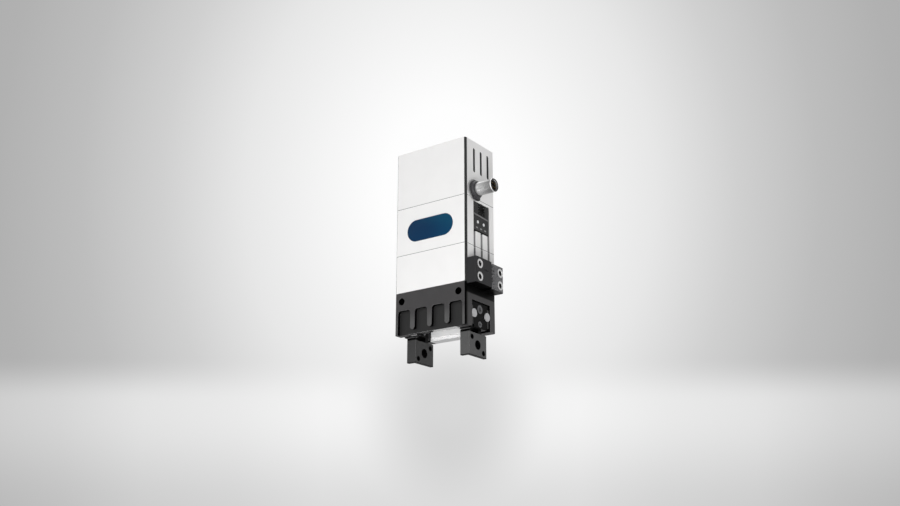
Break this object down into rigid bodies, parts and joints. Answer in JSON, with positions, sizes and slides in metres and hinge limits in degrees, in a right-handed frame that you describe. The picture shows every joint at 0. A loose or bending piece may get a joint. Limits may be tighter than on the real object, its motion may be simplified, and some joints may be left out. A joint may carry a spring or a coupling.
{
  "type": "electric two finger gripper",
  "caption": "Compact electric parallel gripper: a motor and gearhead drive two jaws in opposite directions on crossed-roller guides through racks and a pinion.",
  "frame": {"origin": "midpoint between the two mounting holes, at half the body's depth", "axes": "+X along the jaws' travel, towards the connector side; +Y from the front face to the back face, along the mounting holes; +Z from the jaws to the top cover"},
  "size_m": [0.0645, 0.03, 0.1274],
  "materials": {
    "black_aluminium": "satin black anodised",
    "silver_aluminium": "fine blasted, clear anodised",
    "dark_steel": "ground and blackened",
    "rail_steel": "ground",
    "bright_steel": "polished",
    "screw_steel": "satin",
    "black_screw": "black oxide",
    "bronze": "satin",
    "copper_winding": "enamelled",
    "magnet": "nickel grey",
    "lamination": "satin",
    "circuit_board": "satin green",
    "black_plastic": "fine matte",
    "bracket_grey": "satin",
    "gold_contact": "polished",
    "light_lens": "clear white"
  },
  "bodies": {
    "housing": {"base_housing": "black_aluminium", "gearhead_housing": "silver_aluminium", "motor_housing": "silver_aluminium", "electronics_housing": "silver_aluminium", "top_cover": "silver_aluminium", "top_cover_screws": "black_screw", "tie_screws": "black_screw", "front_guide_rail": "rail_steel", "rear_guide_rail": "rail_steel", "rail_screws": "screw_steel", "race_end_caps": "bright_steel", "pinion_bearing": "bright_steel", "carrier_bearing": "bright_steel", "ring_gear": "rail_steel", "motor_flange": "silver_aluminium", "motor_case": "dark_steel", "motor_end_bell": "silver_aluminium", "motor_bearings": "bright_steel", "stator_core": "lamination", "stator_coils": "copper_winding", "encoder_board": "circuit_board", "control_board": "circuit_board", "board_standoffs": "screw_steel", "control_panel": "black_plastic", "panel_board": "circuit_board", "status_lights": "light_lens", "connector_shell": "bright_steel", "connector_collar": "black_screw", "connector_insert": "black_plastic", "connector_pins": "gold_contact", "sensor_bracket": "black_aluminium", "sensor_clamp": "bracket_grey", "bracket_screws": "bright_steel"},
    "rotor": {"motor_shaft": "bright_steel", "rotor_magnet": "magnet", "sun_gear": "rail_steel", "encoder_magnet": "magnet"},
    "carrier": {"planet_carrier": "rail_steel", "carrier_ring": "rail_steel", "planet_pins": "bright_steel", "drive_pinion": "rail_steel", "pinion_clip": "black_screw"},
    "planet_a": {"planet_gear_a": "bronze"},
    "planet_b": {"planet_gear_b": "bronze"},
    "planet_c": {"planet_gear_c": "bronze"},
    "right_jaw_unit": {"right_carriage": "dark_steel", "right_jaw": "black_aluminium", "right_jaw_screws": "screw_steel", "right_rack": "rail_steel", "right_rack_screws": "black_screw"},
    "left_jaw_unit": {"left_carriage": "dark_steel", "left_jaw": "black_aluminium", "left_jaw_screws": "screw_steel", "left_rack": "rail_steel", "left_rack_screws": "black_screw"},
    "right_cages": {"right_roller_cages": "bronze", "right_rollers": "bright_steel"},
    "left_cages": {"left_roller_cages": "bronze", "left_rollers": "bright_steel"},
    "selector": {"selector": "black_plastic"}
  },
  "joints": [
    {"name": "motor_spin", "type": "hinge", "parent": "housing", "child": "rotor", "pos_m": [0, 0, 0.0405], "axis": [0, 0, 1], "range_deg": [0, 573]},
    {"name": "carrier_spin", "type": "hinge", "parent": "housing", "child": "carrier", "pos_m": [0, 0, 0.0105], "axis": [0, 0, 1], "range_deg": [0, 114.6]},
    {"name": "planet_a_spin", "type": "hinge", "parent": "carrier", "child": "planet_a", "pos_m": [0.00675, 0, 0.0155], "axis": [0, 0, 1], "range_deg": [-305.6, 0]},
    {"name": "planet_b_spin", "type": "hinge", "parent": "carrier", "child": "planet_b", "pos_m": [-0.00337, 0.00585, 0.0155], "axis": [0, 0, 1], "range_deg": [-305.6, 0]},
    {"name": "planet_c_spin", "type": "hinge", "parent": "carrier", "child": "planet_c", "pos_m": [-0.00337, -0.00585, 0.0155], "axis": [0, 0, 1], "range_deg": [-305.6, 0]},
    {"name": "right_jaw_slide", "type": "slide", "parent": "housing", "child": "right_jaw_unit", "axis": [-1, 0, 0], "range_m": [0, 0.008]},
    {"name": "right_cage_slide", "type": "slide", "parent": "housing", "child": "right_cages", "axis": [-1, 0, 0], "range_m": [0, 0.004]},
    {"name": "left_jaw_slide", "type": "slide", "parent": "housing", "child": "left_jaw_unit", "axis": [1, 0, 0], "range_m": [0, 0.008]},
    {"name": "left_cage_slide", "type": "slide", "parent": "housing", "child": "left_cages", "axis": [1, 0, 0], "range_m": [0, 0.004]},
    {"name": "selector_turn", "type": "hinge", "parent": "housing", "child": "selector", "pos_m": [0.024, 0.0013, 0.0514], "axis": [1, 0, 0], "range_deg": [0, 330]}
  ],
  "couplings": [
    {"joint": "motor_spin", "follows": "right_jaw_slide", "rad_per_m": 1250},
    {"joint": "carrier_spin", "follows": "right_jaw_slide", "rad_per_m": 250},
    {"joint": "planet_a_spin", "follows": "right_jaw_slide", "rad_per_m": -666.67},
    {"joint": "planet_b_spin", "follows": "right_jaw_slide", "rad_per_m": -666.67},
    {"joint": "planet_c_spin", "follows": "right_jaw_slide", "rad_per_m": -666.67},
    {"joint": "left_jaw_slide", "follows": "right_jaw_slide", "ratio": 1},
    {"joint": "right_cage_slide", "follows": "right_jaw_slide", "ratio": 0.5},
    {"joint": "left_cage_slide", "follows": "right_jaw_slide", "ratio": 0.5}
  ]
}
